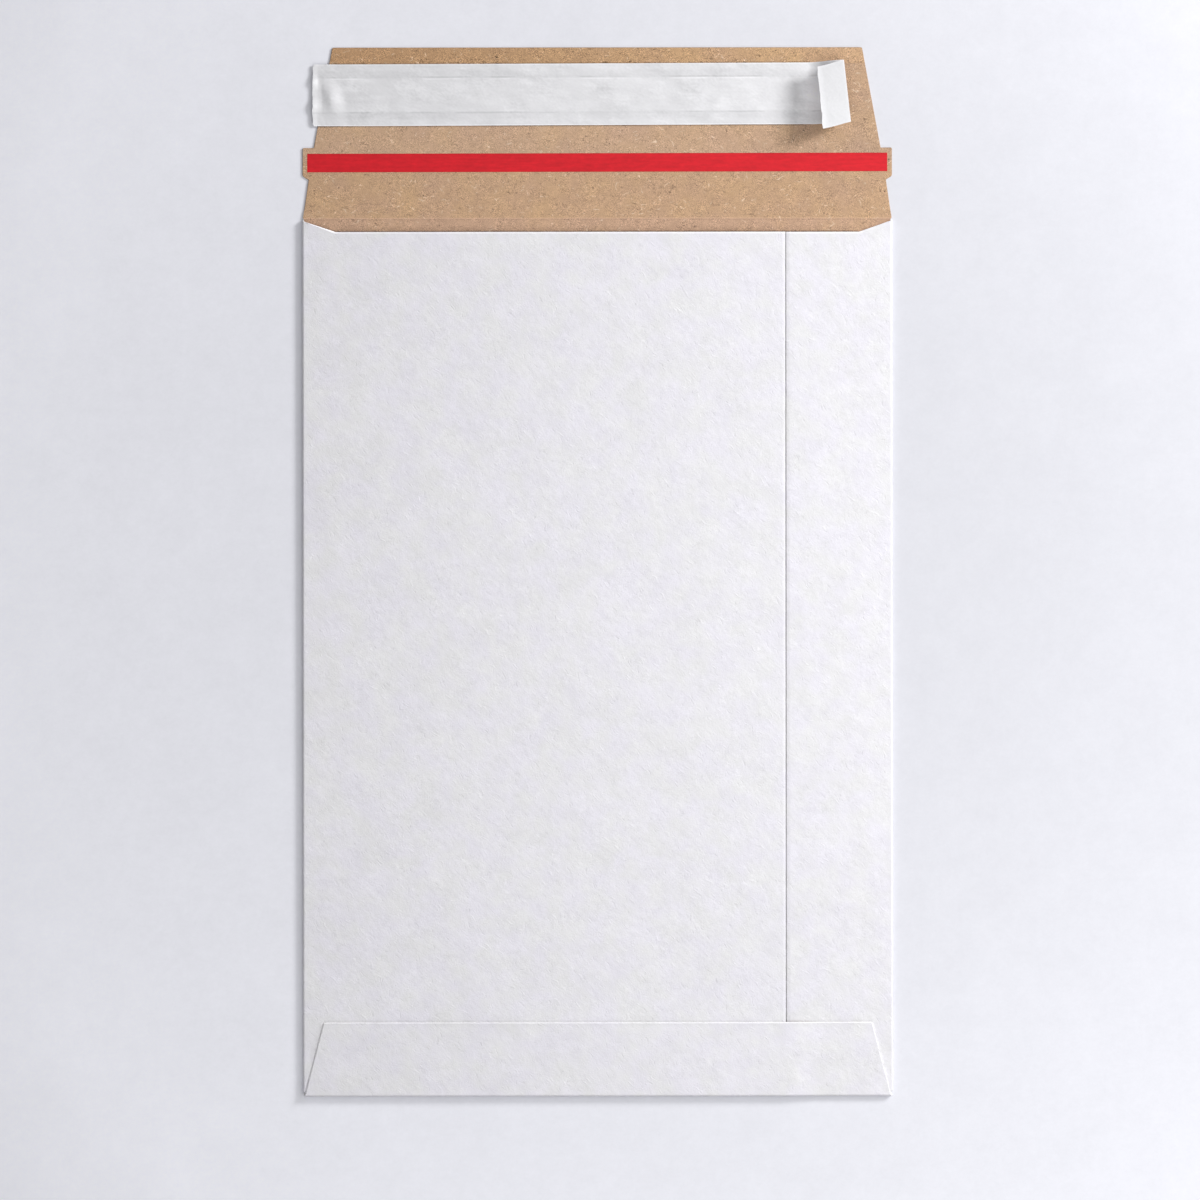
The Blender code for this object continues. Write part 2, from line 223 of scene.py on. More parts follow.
# The floor's own tone rises away from the lamps, against their falling light
FLOOR_HALF = 6
FLOOR_DROP = 0.02 * MM
FLOOR_TINT = (0.995, 1.0, 1.07)
FLOOR_TONE = 0.73
FLOOR_SLOPE_X = -0.58
FLOOR_SLOPE_Y = -0.12
FLOOR_CURVE_X = 1.5
FLOOR_CURVE_Y = 1.78
FLOOR_TWIST = -0.65
FLOOR_LIGHTEST = 0.98
FLOOR_DARKEST = 0.62
FLOOR_NEAR = 0.36  # from here to FLOOR_FAR it fades, for the camera only, to the backdrop's colour
FLOOR_FAR = 0.6
BACKDROP = (0.8, 0.8, 0.85, 1)

# Painted highlights and shade along edges, seam and mouth, painted light beside the leaf, zones and
# levels
MOUTH_SLANT_X = 105 * MM
MOUTH_SLANT_FADE = 2 * MM
MOUTH_SLANT_NORMAL = (-0.3665, 0.930)
MOUTH_SLANT_OFFSET = -87.69 * MM
FLAP_SIDE_SLOPE = 0.27
SEAM_SHADE = 0.45
KRAFT_RUN = 0.18  # width over which the brown face changes from its left to its right
RIGHT_END_X = 70 * MM
RIGHT_END_RUN = 30 * MM
LEAF_GLOW_X = 79 * MM
LEAF_GLOW_RUN = 5 * MM
LEAF_GLOW_UP = 11 * MM
LEAF_GLOW_RUN_BELOW = 10 * MM
LEAF_GLOW_RUN_ABOVE = 5 * MM
PATCH_CONTRAST = 1.6
PATCH_MIDDLE = 0.95
PATCH_LEAST = 0.25
LEAST_BRIGHTNESS = 0.2

# Colours and directions of the patterns
WHITE_NEUTRAL = (0.79, 0.785, 0.802)
WHITE_VIOLET = (0.792, 0.777, 0.838)
KRAFT_PINK = (0.545, 0.352, 0.24)
KRAFT_OCHRE = (0.54, 0.35, 0.196)
KRAFT_ORANGE = (0.55, 0.332, 0.18)
KRAFT_FIBRE = (0.66, 0.53, 0.4)
# the rim's pale core, lightened further as a painted highlight on the rounded cut edges
RIM_PALE_AND_HIGHLIGHT = (0.93, 0.925, 0.92)
RIM_BROWN = (0.37, 0.255, 0.165)
FILM_RED = (0.655, 0.011, 0.021)
PAPER_COATED = (0.77, 0.767, 0.788)
# the uncoated back's grey, darkened as painted shade against the light on the tilted leaf
PAPER_BACK_AND_SHADE = (0.59, 0.59, 0.605)
CLEAR_ADHESIVE = (0.8, 0.78, 0.7)
PALE_GLUE = (0.75, 0.7, 0.58)
STREAK_TURN = math.radians(42)
DENT_TURN = STREAK_TURN + 0.3
STRAY_TURN = STREAK_TURN - 0.9
PAPER_TURN = 0.55


def smoothstep(share):
    share = min(max(share, 0), 1)
    return share * share * (3 - 2 * share)


def fold_profile(distance, height, corner):
    """Run along the sheet and rise above it, for a sheet folded back over two rounded corners."""
    quarter = math.pi / 2 * corner
    wall = height - 2 * corner
    if distance < quarter:
        angle = distance / corner
        return corner * math.sin(angle), corner * (1 - math.cos(angle))
    distance -= quarter
    if distance < wall:
        return corner, corner + distance
    distance -= wall
    if distance < quarter:
        angle = distance / corner
        return corner * math.cos(angle), height - corner + corner * math.sin(angle)
    return quarter - distance, height


def fold_length(height, corner):
    return math.pi * corner + height - 2 * corner


def fold_stations(height, corner):
    """Where the sheet is cut along a fold, as distances from its start."""
    quarter = math.pi / 2 * corner
    wall = height - 2 * corner
    first = [quarter * i / CORNER_SEGMENTS for i in range(CORNER_SEGMENTS + 1)]
    middle = [quarter + wall * i / WALL_SEGMENTS for i in range(1, WALL_SEGMENTS + 1)]
    second = [quarter + wall + d for d in first[1:]]
    return [-SHOULDER, *first, *middle, *second, second[-1] + SHOULDER]


def cut(bm, point, normal, low_y=-math.inf, high_y=math.inf):
    """Cuts the faces between two heights along a line through the point, across the normal."""
    faces = [f for f in bm.faces if low_y < f.calc_center_median().y < high_y]
    edges = {e for f in faces for e in f.edges}
    verts = {v for f in faces for v in f.verts}
    bmesh.ops.bisect_plane(
        bm,
        geom=faces + list(edges) + list(verts),
        dist=TOLERANCE,
        plane_co=point,
        plane_no=normal,
    )


def add_piece(name, bm, materials, slot, *nodes):
    mesh = bpy.data.meshes.new(name)
    bm.to_mesh(mesh)
    bm.free()
    for material in materials:
        mesh.materials.append(material)
    obj = bpy.data.objects.new(name, mesh)
    bpy.context.scene.collection.objects.link(obj)
    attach(obj, "root")
    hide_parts(*nodes)
    return obj


def side_outline(side, start, fold, cut_edge):
    """One side of the flat blank, from the bottom flap's edge up to the closing flap's corner."""
    panel_end = start + fold + (start - side * cut_edge)
    chamfer_end = start + fold + (start - HALF_WIDTH + CHAMFER_WIDTH)
    fold_end = HALF_WIDTH - FOLD_INSET
    bottom_fold = fold_length(FLAP_TOP_ON_PANEL, BOTTOM_CORNER)
    flap_end_y = BOTTOM_START_Y - bottom_fold - (BOTTOM_FLAP - BOTTOM_CORNER)
    points = [
        (HALF_WIDTH - BOTTOM_FLAP_TAPER, flap_end_y),
        (fold_end, BOTTOM_START_Y - bottom_fold / 2),
        (fold_end, BOTTOM_START_Y),
        (start, PANEL_BOTTOM_Y),
        (panel_end, PANEL_BOTTOM_Y),
        (panel_end, MOUTH_Y),
        (chamfer_end, MOUTH_Y),
        (start, CREASE_Y - CREASE_WIDTH / 2),
        (HALF_WIDTH - FLAP_CREASE_INSET, CREASE_Y),
        (HALF_WIDTH - TAB_ROOT_INSET, TAB_ROOT_Y),
        (HALF_WIDTH, TAB_BOTTOM_Y),
        (HALF_WIDTH, TAB_TOP_Y),
        (HALF_WIDTH - TAB_NECK_INSET, TAB_TOP_Y),
        (HALF_WIDTH - FLAP_EDGE_INSET, FLAP_END_Y),
    ]
    return [Vector((side * x, y, 0)) for x, y in points]


def round_die_corners(bm, corners):
    chosen = [v for v in bm.verts if any((v.co - c).length < TOLERANCE for c in corners)]
    bmesh.ops.bevel(
        bm,
        geom=chosen,
        offset=DIE_RADIUS,
        segments=DIE_SEGMENTS,
        profile=0.5,
        affect="VERTICES",
        material=-1,
    )


def flat_blank():
    """The blank as a flat sheet, cut along its bends and across its panels."""
    left_fold = fold_length(PANEL_TOP, LEFT_CORNER)
    right_fold = fold_length(STRIP_TOP, RIGHT_CORNER)
    right = side_outline(1, RIGHT_START, right_fold, STRIP_X)
    left = side_outline(-1, LEFT_START, left_fold, SEAM_X)
    bm = bmesh.new()
    bm.faces.new([bm.verts.new(point) for point in right + left[::-1]])
    round_die_corners(bm, [points[i] for points in (right, left) for i in DIE_CORNERS])

    crease_root = CREASE_Y - CREASE_WIDTH / 2
    for y in (PANEL_BOTTOM_Y, crease_root - SHOULDER, CREASE_Y + CREASE_WIDTH / 2 + SHOULDER):
        cut(bm, (0, y, 0), ALONG)
    for i in range(CREASE_SEGMENTS + 1):
        cut(bm, (0, crease_root + CREASE_WIDTH * i / CREASE_SEGMENTS, 0), ALONG)
    for station in fold_stations(FLAP_TOP_ON_PANEL, BOTTOM_CORNER):
        cut(bm, (0, BOTTOM_START_Y - station, 0), ALONG, high_y=PANEL_BOTTOM_Y)
    for station in fold_stations(PANEL_TOP, LEFT_CORNER):
        cut(bm, (-LEFT_START - station, 0, 0), ACROSS, PANEL_BOTTOM_Y, crease_root)
    for station in fold_stations(STRIP_TOP, RIGHT_CORNER):
        cut(bm, (RIGHT_START + station, 0, 0), ACROSS, PANEL_BOTTOM_Y, crease_root)
    for i in range(STEP_SEGMENTS + 1):
        cut(bm, (STEP_X + STEP_LENGTH * i / STEP_SEGMENTS, 0, 0), ACROSS, high_y=PANEL_BOTTOM_Y)
    for share in PRESS_CUTS:
        x = RIGHT_START + right_fold + RIGHT_START - (SEAM_X + share * PRESS_RUN)
        cut(bm, (x, 0, 0), ACROSS, PANEL_BOTTOM_Y, crease_root)
    for share in LIP_CUTS:
        x = LEFT_START + left_fold + LEFT_START + SEAM_X - share * LIP_RUN
        cut(bm, (-x, 0, 0), ACROSS, PANEL_BOTTOM_Y, crease_root)
    grid_cuts(bm)
    return bm


def grid_cuts(bm):
    """Cuts the sheet into cells, so that its panels can wave a little."""
    low = Vector([min(v.co[i] for v in bm.verts) for i in range(3)])
    high = Vector([max(v.co[i] for v in bm.verts) for i in range(3)])
    for axis in (0, 1):
        count = round((high[axis] - low[axis]) / GRID)
        direction = Vector((1 - axis, axis, 0))
        for i in range(1, count):
            cut(bm, low + (high - low) * i / count, direction)


def fold_bottom(co):
    share = smoothstep((co.x - STEP_X) / STEP_LENGTH)
    drop = share * (FLAP_TOP_ON_PANEL - FLAP_TOP_ON_STRIP)
    height = FLAP_TOP_ON_PANEL - drop
    full, here = fold_length(FLAP_TOP_ON_PANEL, BOTTOM_CORNER), fold_length(height, BOTTOM_CORNER)
    distance = BOTTOM_START_Y - co.y
    distance = distance * here / full if distance < full else distance - full + here
    run, rise = fold_profile(distance, height, BOTTOM_CORNER)
    co.y = BOTTOM_START_Y - run
    co.z = rise


def wave(co):
    """How far a front panel lies off its plane, fading out beside its folds, seam and ends."""
    to_fold = min(HALF_WIDTH - abs(co.x), co.y - BOTTOM_FLAP_END_Y, MOUTH_Y - co.y)
    to_seam = max(STRIP_X - co.x, co.x - SEAM_X - PRESS_RUN)
    share = smoothstep(to_fold / WAVE_FADE) * smoothstep(to_seam / WAVE_FADE)
    return WAVE_HEIGHT * share * noise.noise(co / WAVE_LENGTH)


def press(x):
    """How deep the narrow strip is pressed in beside the wide panel's cut edge."""
    past = x - SEAM_X
    share = 1 - past / PRESS_RUN if past > 0 else 1 + past / PRESS_UNDER
    return PRESS_DEPTH * min(max(share, 0), 1)


def fold_blank(bm):
    """Bends the flat blank round its side and bottom folds, and presses in the crease."""
    crease_root = CREASE_Y - CREASE_WIDTH / 2
    for v in bm.verts:
        co = v.co
        on_panel = PANEL_BOTTOM_Y - TOLERANCE < co.y < crease_root + TOLERANCE
        if on_panel and co.x > RIGHT_START:
            run, co.z = fold_profile(co.x - RIGHT_START, STRIP_TOP, RIGHT_CORNER)
            co.x = RIGHT_START + run
            if co.z > STRIP_TOP - TOLERANCE:
                co.z += wave(co) - press(co.x)
        elif on_panel and co.x < -LEFT_START:
            run, co.z = fold_profile(-LEFT_START - co.x, PANEL_TOP, LEFT_CORNER)
            co.x = -LEFT_START - run
            if co.z > PANEL_TOP - TOLERANCE:
                on_lip = max(0, 1 + (co.x - SEAM_X) / LIP_RUN)
                co.z += wave(co) - LIP_DROP * on_lip ** LIP_POWER
        elif co.y < BOTTOM_START_Y + TOLERANCE:
            fold_bottom(co)
        elif abs(co.y - CREASE_Y) < CREASE_WIDTH / 2:
            co.z = CREASE_DEPTH * math.cos(math.pi * (co.y - CREASE_Y) / CREASE_WIDTH) ** 2


def thicken_board(bm):
    """Gives the folded skin its thickness on the inner side of the folds, and rounds its cut rim."""
    bm.normal_update()
    on_back = [f for f in bm.faces if all(abs(v.co.z) < TOLERANCE for v in f.verts)]
    if max(on_back, key=lambda f: f.calc_area()).normal.z > 0:
        bmesh.ops.reverse_faces(bm, faces=bm.faces[:])
    outer = set(bm.faces)
    outer_rim = [e for e in bm.edges if e.is_boundary]
    bmesh.ops.solidify(bm, geom=bm.faces[:], thickness=BOARD)
    rim_faces = {f for e in outer_rim for f in e.link_faces if f not in outer}
    for face in bm.faces:
        middle = face.calc_center_median()
        if face in rim_faces:
            face.material_index = FLAP_RIM if middle.y > CREASE_Y else RIM
        elif face not in outer:
            at_nick = middle.y < BOTTOM_Y + NICK_LENGTH and abs(middle.x) > HALF_WIDTH - NICK_WIDTH
            face.material_index = RIM if at_nick else KRAFT
    inner_rim = {e for f in rim_faces for e in f.edges} - set(outer_rim)
    on_flap = [
        e for e in inner_rim
        if any(f not in rim_faces for f in e.link_faces)
        and all(v.co.y > CREASE_Y + CREASE_WIDTH for v in e.verts)
    ]
    of_panels = [e for e in outer_rim if all(v.co.y < CREASE_Y - CREASE_WIDTH for v in e.verts)]
    of_flap = [e for e in outer_rim if all(v.co.y > CREASE_Y + CREASE_WIDTH for v in e.verts)]
    rounded = set()
    for edges, offset in ((of_panels, PANEL_ROUNDING), (of_flap + on_flap, RIM_ROUNDING)):
        rounded |= set(
            bmesh.ops.bevel(
                bm,
                geom=edges,
                offset=offset,
                segments=RIM_SEGMENTS,
                profile=0.5,
                affect="EDGES",
                material=-1,
            )["faces"]
        )
    for face in bm.faces:
        face.smooth = True
    for edge in bm.edges:
        sides = [f in rounded for f in edge.link_faces]
        if len(sides) == 2 and sides[0] != sides[1]:
            edge.smooth = False
        elif len(sides) == 2 and edge.calc_face_angle(0) > BOARD_SHARP:
            edge.smooth = False


def folded_board(materials):
    bm = flat_blank()
    fold_blank(bm)
    thicken_board(bm)
    return add_piece("folded_board", bm, materials, "white_board", "envelope_board")


def tear_film(material):
    """The tape follows the board under it, with ends that were cut by a blade."""
    bm = bmesh.new()
    bmesh.ops.create_grid(bm, x_segments=TAPE_CELLS[0], y_segments=TAPE_CELLS[1], size=0.5)
    bmesh.ops.scale(bm, vec=(2 * TAPE_END_X, TAPE_WIDTH, 1), verts=bm.verts)
    bmesh.ops.translate(bm, vec=(0, TAPE_Y, BOARD + SHEET_GAP), verts=bm.verts)
    bmesh.ops.solidify(bm, geom=bm.faces[:], thickness=-TAPE)
    bmesh.ops.recalc_face_normals(bm, faces=bm.faces[:])
    for v in bm.verts:
        v.co.y += TAPE_SKEW * v.co.x
        if v.co.z > BOARD + TAPE / 2:
            v.co.z += TAPE_RIPPLE * noise.noise(v.co / TAPE_RIPPLE_LENGTH)
    return add_piece("tear_film", bm, [material], "red_film", "tear_tape")


def raised_by_adhesive(co):
    past_end = max(ADHESIVE_LEFT - co.x, co.x - ADHESIVE_RIGHT)
    past_side = abs(co.y - LINER_Y) - ADHESIVE_HALF
    return ADHESIVE_RAISE * smoothstep(1 - max(past_end, past_side) / DRAPE)


def bulge(up, middle, half_width, height):
    return height * math.exp(-((up - middle * MM) / (half_width * MM)) ** 2)


def loose_end(co):
    """The liner's loose left end: it curls up, dips, and rises in a blister before it lies flat."""
    up = co.y - LINER_Y
    curl = CURL_LEAST + sum(bulge(up, *bump) for bump in CURL_BUMPS)
    blister = BLISTER_LEAST + bulge(up, *BLISTER_BUMP)
    stations = ((0, curl), (DIP_AT, DIP_HEIGHT), (BLISTER_AT, blister), (FLAT_FROM, 0))
    along = (co.x - LINER_LEFT) / MM
    along += LOOSE_SLANT * smoothstep(along / LOOSE_SLANT_RUN) * (up / MM - BLISTER_BUMP[0])
    for (start, low), (end, high) in zip(stations, stations[1:]):
        if along < end:
            return (low + (high - low) * smoothstep((along - start) / (end - start))) * MM
    return 0


def liner_wrinkles(co):
    """Small ridges and soft waves of the liner, as a height over its resting surface."""
    rise = loose_end(co)
    for x, y, half_length, half_width, height, turn in LINER_RIDGES:
        offset = Vector((co.x - x * MM, co.y - y * MM, 0))
        direction = Vector((math.cos(math.radians(turn)), math.sin(math.radians(turn)), 0))
        along = offset.dot(direction) / (half_length * MM)
        beside = (offset.y * direction.x - offset.x * direction.y) / (half_width * MM)
        rise += height * MM * math.exp(-along * along - beside * beside)
    margin = smoothstep((abs(co.y - LINER_Y) - ADHESIVE_HALF) / RIPPLE_GROWTH)
    ripple = noise.noise(Vector((co.x / RIPPLE_LENGTH, co.y / RIPPLE_WIDTH, RIPPLE_SLICE)))
    crinkle = noise.noise(Vector((co.x / CRINKLE_LENGTH, co.y / CRINKLE_LENGTH, CRINKLE_SLICE)))
    strength = RIPPLE_ON_ADHESIVE + (1 - RIPPLE_ON_ADHESIVE) * margin
    rise += max(0, RIPPLE_HEIGHT * (ripple + RIPPLE_LEVEL)) * strength
    rise += CRINKLE_HEIGHT * (crinkle + CRINKLE_LEVEL)
    return rise


def liner_bend(distance, turn):
    angle = min(max(distance / LIFT_FOLD_RADIUS, 0), turn)
    past = distance - angle * LIFT_FOLD_RADIUS
    run = LIFT_FOLD_RADIUS * math.sin(angle) + past * math.cos(angle)
    rise = LIFT_FOLD_RADIUS * (1 - math.cos(angle)) + past * math.sin(angle)
    return run, rise


def flat_liner():
    """The liner as a flat strip, cut where its right end turns back."""
    length = LINER_RIGHT - LINER_LEFT
    bm = bmesh.new()
    columns, rows = round(length / LINER_CELL), round(LINER_WIDTH / LINER_CELL)
    bmesh.ops.create_grid(bm, x_segments=columns, y_segments=rows, size=0.5)
    bmesh.ops.scale(bm, vec=(length, LINER_WIDTH, 1), verts=bm.verts)
    bmesh.ops.translate(bm, vec=(LINER_LEFT + length / 2, LINER_Y, 0), verts=bm.verts)
    for i in range(LIFT_FOLD_CUTS + 1):
        past = LIFT_TURN * LIFT_FOLD_RADIUS * i / LIFT_FOLD_CUTS
        cut(bm, LIFT_FOLD_MIDDLE + past * LIFT_FOLD_NORMAL, LIFT_FOLD_NORMAL)
    return bm


def trim_liner(co):
    """Moves a point of the flat strip for its torn, worn and slanting ends."""
    from_end = LINER_RIGHT - co.x
    near_left = smoothstep(1 - (co.x - LINER_LEFT) / TEAR_LEFT_RUN)
    near_right = smoothstep(1 - from_end / TEAR_RIGHT_RUN)
    slanted = smoothstep(1 - from_end / LIFT_END_SLANT_RUN)
    tear = sum(noise.noise(Vector((co.y / length, row, 1))) for length, row in TEAR_WAVES)
    corner = smoothstep((abs(co.y - LINER_Y) - LINER_WIDTH / 2) / MM + 1)
    co.x += CORNER_WORN * corner * near_left
    co.x += tear * (TEAR_LEFT * near_left + TEAR_RIGHT * near_right)
    co.x += slanted * (LIFT_END_EXTRA + LIFT_END_SLANT * (co.y - LINER_Y))


def lay_liner(co):
    """Moves a point of the trimmed strip to where it lies, over the adhesive or turned back."""
    distance = (co - LIFT_FOLD_MIDDLE).dot(LIFT_FOLD_NORMAL)
    run, rise = liner_bend(distance, LIFT_TURN + LIFT_TWIST * (co.y - LINER_Y) / LINER_WIDTH)
    lift = smoothstep(1 + distance / LIFT_RUN)
    flat = 1 - smoothstep(distance / MM)
    co.z = LINER_UNDER + raised_by_adhesive(co) + LIFT_HEIGHT * lift + rise
    co.z += liner_wrinkles(co) * flat
    co += LIFT_FOLD_NORMAL * (run - distance)
    sideways = LIFT_SIDEWAYS * lift + LIFT_LEAF_SIDEWAYS * smoothstep(distance / LIFT_LEAF)
    co.y += sideways + LINER_SKEW * co.x


def liner_paper(coated, uncoated):
    """The liner lies over the adhesive, and its right end is turned back as a finger lift."""
    bm = flat_liner()
    on_strip = bm.verts.layers.float_vector.new("flat_place")
    for v in bm.verts:
        v[on_strip] = (v.co.x, v.co.y - LINER_Y, 0)
        trim_liner(v.co)
        lay_liner(v.co)
    bm.normal_update()
    lower_skin = set(bm.faces)
    bmesh.ops.solidify(bm, geom=bm.faces[:], thickness=-LINER)
    for face in bm.faces:
        face.smooth = True
        if face in lower_skin:
            face.material_index = UNCOATED
    bmesh.ops.recalc_face_normals(bm, faces=bm.faces[:])
    for edge in bm.edges:
        if edge.calc_face_angle(0) > PAPER_SHARP:
            edge.smooth = False
    return add_piece("liner_paper", bm, [coated, uncoated], "release_paper", "release_liner")


# Node helpers. A mix node names its sockets alike for each kind of data, so they go by number.
MIX_SHARE, MIX_FIRST, MIX_SECOND, MIX_RESULT = 0, 6, 7, 2


def group_of(name, inputs, output):
    tree = bpy.data.node_groups.new(name, "ShaderNodeTree")
    for label, kind, value in inputs:
        socket = tree.interface.new_socket(label, in_out="INPUT", socket_type=kind)
        if value is not None:
            socket.default_value = value
    tree.interface.new_socket(output, in_out="OUTPUT", socket_type="NodeSocketFloat")
    return tree, tree.nodes.new("NodeGroupInput").outputs, tree.nodes.new("NodeGroupOutput").inputs


def fill_input(tree, socket, value):
    if isinstance(value, bpy.types.NodeSocket):
        tree.links.new(value, socket)
    else:
        socket.default_value = value


def add_node(tree, kind, inputs=(), **settings):
    node = tree.nodes.new(kind)
    for key, value in settings.items():
        setattr(node, key, value)
    for key, value in dict(inputs).items():
        fill_input(tree, node.inputs[key], value)
    return node


def math_node(tree, operation, first, second=0.0, third=0.0, clamp=False):
    node = add_node(tree, "ShaderNodeMath", {0: first, 1: second, 2: third}, operation=operation)
    node.use_clamp = clamp
    return node.outputs[0]


def vector_node(tree, operation, first, second):
    """Of a vector and either another one or, to scale it, a number."""
    inputs = {0: first, "Scale" if operation == "SCALE" else 1: second}
    return add_node(tree, "ShaderNodeVectorMath", inputs, operation=operation).outputs[0]


def times(tree, first, second):
    return math_node(tree, "MULTIPLY", first, second)


def minus(tree, first, second, clamp=False):
    return math_node(tree, "SUBTRACT", first, second, clamp=clamp)


def sloped(tree, value, slope, start, clamp=False):
    """The start plus the value times the slope."""
    return math_node(tree, "MULTIPLY_ADD", value, slope, start, clamp)


def over(tree, value, limit):
    return math_node(tree, "GREATER_THAN", value, limit)


def under(tree, value, limit):
    return math_node(tree, "LESS_THAN", value, limit)


def size_of(tree, value):
    return math_node(tree, "ABSOLUTE", value)


def ramp(tree, value, start, run):
    """0 up to the start, then rising to 1 over the run."""
    return math_node(tree, "DIVIDE", minus(tree, value, start), run, clamp=True)


def fade(tree, value, end, run):
    """Falls from 1 to 0 over the run before the end, and stays there."""
    return math_node(tree, "DIVIDE", minus(tree, end, value), run, clamp=True)


def line_mask(tree, value, middle, half_width, softness):
    """One where the value is near the middle, fading to zero over the softness."""
    return fade(tree, size_of(tree, minus(tree, value, middle)), half_width + softness, softness)


def weighted_sum(tree, *terms):
    """Adds values, each given with its weight."""
    total = 0.0
    for value, weight in terms:
        total = sloped(tree, value, weight, total)
    return total


def axes(tree, vector):
    return add_node(tree, "ShaderNodeSeparateXYZ", {"Vector": vector}).outputs


def turned_vector(tree, vector, turn, stretch):
    """The vector turned about Z, then shortened along X, which draws patterns out that way."""
    turned = add_node(
        tree, "ShaderNodeVectorRotate", {"Vector": vector, "Angle": turn}, rotation_type="Z_AXIS"
    )
    x, y, z = axes(tree, turned.outputs[0])
    along = math_node(tree, "DIVIDE", x, stretch)
    return add_node(tree, "ShaderNodeCombineXYZ", {"X": along, "Y": y, "Z": z}).outputs[0]


def build_flecks_group():
    """Scattered flecks: round specks at a stretch of 1, short curved fibres at a larger one."""
    tree, given, result = group_of(
        "flecks",
        [
            ("Vector", "NodeSocketVector", None),
            ("Scale", "NodeSocketFloat", 1000.0),
            ("Stretch", "NodeSocketFloat", 1.0),
            ("Turn", "NodeSocketFloat", 0.0),
            ("Curl", "NodeSocketFloat", 0.0),
            ("Size", "NodeSocketFloat", 0.2),
            ("Share", "NodeSocketFloat", 0.3),
        ],
        "Mask",
    )
    swirl = add_node(
        tree, "ShaderNodeTexNoise", {"Vector": given["Vector"], "Scale": 220.0, "Detail": 1.0}
    )
    centred = vector_node(tree, "SUBTRACT", swirl.outputs["Color"], (0.5, 0.5, 0.5))
    curled = vector_node(tree, "SCALE", centred, given["Curl"])
    moved = vector_node(tree, "ADD", given["Vector"], curled)
    place = turned_vector(tree, moved, given["Turn"], given["Stretch"])
    cells = add_node(
        tree, "ShaderNodeTexVoronoi", {"Vector": place, "Scale": given["Scale"]}, feature="F1"
    )
    pick = add_node(tree, "ShaderNodeSeparateColor", {0: cells.outputs["Color"]})
    chosen = under(tree, pick.outputs[0], given["Share"])
    radius = times(tree, given["Size"], sloped(tree, pick.outputs[1], 0.7, 0.5))
    near = math_node(tree, "DIVIDE", cells.outputs["Distance"], radius)
    soft = minus(tree, 1.0, near, clamp=True)
    tree.links.new(times(tree, soft, chosen), result["Mask"])
    return tree


def build_mottle_group():
    """Soft cloudy variation around zero, drawn out along one direction."""
    tree, given, result = group_of(
        "mottle",
        [
            ("Vector", "NodeSocketVector", None),
            ("Scale", "NodeSocketFloat", 100.0),
            ("Detail", "NodeSocketFloat", 2.0),
            ("Roughness", "NodeSocketFloat", 0.5),
            ("Stretch", "NodeSocketFloat", 1.0),
            ("Turn", "NodeSocketFloat", 0.0),
        ],
        "Value",
    )
    cloud = add_node(
        tree,
        "ShaderNodeTexNoise",
        {
            "Vector": turned_vector(tree, given["Vector"], given["Turn"], given["Stretch"]),
            **{name: given[name] for name in ("Scale", "Detail", "Roughness")},
        },
    )
    value = times(tree, minus(tree, cloud.outputs[0], 0.5), 2.0)
    tree.links.new(value, result["Value"])
    return tree


FLECKS = build_flecks_group()
MOTTLE = build_mottle_group()


def flecks(tree, place, **shape):
    inputs = {"Vector": place, **shape}
    return add_node(tree, "ShaderNodeGroup", inputs, node_tree=FLECKS).outputs[0]


def mottle(tree, place, **shape):
    inputs = {"Vector": place, **shape}
    return add_node(tree, "ShaderNodeGroup", inputs, node_tree=MOTTLE).outputs[0]


def patchy(tree, place, scale, level):
    """The level, stronger in some patches and weaker in others."""
    strength = sloped(tree, mottle(tree, place, Scale=scale), PATCH_CONTRAST, PATCH_MIDDLE)
    return times(tree, level, math_node(tree, "MAXIMUM", strength, PATCH_LEAST))


def blend(tree, share, first, second):
    """A colour between two, each a triple or a socket."""
    ends = [c if isinstance(c, bpy.types.NodeSocket) else (*c, 1) for c in (first, second)]
    inputs = {MIX_SHARE: share, MIX_FIRST: ends[0], MIX_SECOND: ends[1]}
    return add_node(tree, "ShaderNodeMix", inputs, data_type="RGBA").outputs[MIX_RESULT]


def scaled(tree, color, level):
    """The colour, lighter or darker by a level around zero."""
    brightness = math_node(tree, "ADD", level, 1.0)
    brightness = math_node(tree, "MAXIMUM", brightness, LEAST_BRIGHTNESS)
    return vector_node(tree, "SCALE", color, brightness)


def new_material(name, roughness, specular=0.5):
    material = bpy.data.materials.new(name)
    material.use_nodes = True
    tree = material.node_tree
    shader = tree.nodes["Principled BSDF"]
    shader.inputs["Roughness"].default_value = roughness
    shader.inputs["Specular IOR Level"].default_value = specular
    place = tree.nodes.new("ShaderNodeTexCoord").outputs["Object"]
    return material, tree, shader, place


def drive(tree, shader, color, height, depth):
    """Gives the shader its colour, and its relief from a height of about one and a depth."""
    tree.links.new(color, shader.inputs["Base Color"])
    bump = add_node(tree, "ShaderNodeBump", {"Height": height, "Distance": depth, "Strength": 1.0})
    tree.links.new(bump.outputs[0], shader.inputs["Normal"])


def show_to_camera(tree, share, normal, seen, output):
    """Mixes in what only the camera sees, by a share of its rays."""
    mix = tree.nodes.new("ShaderNodeMixShader")
    for socket, source in zip(mix.inputs, (share, normal, seen)):
        tree.links.new(source, socket)
    tree.links.new(mix.outputs[0], tree.nodes[output].inputs["Surface"])


def camera_ray(tree):
    return tree.nodes.new("ShaderNodeLightPath").outputs["Is Camera Ray"]


# Materials

def past_mouth(tree, x, y):
    """How far a point lies beyond the mouth's edge, which slants down from each side fold."""
    slant = sloped(tree, size_of(tree, x), MOUTH_SLANT_NORMAL[0], MOUTH_SLANT_OFFSET)
    slant = sloped(tree, y, MOUTH_SLANT_NORMAL[1], slant)
    return math_node(tree, "MINIMUM", slant, minus(tree, y, MOUTH_Y))


def off_slants(tree, x):
    """1 along the mouth's straight edge and 0 along the slants at its ends."""
    return fade(tree, size_of(tree, x), MOUTH_SLANT_X, MOUTH_SLANT_FADE)


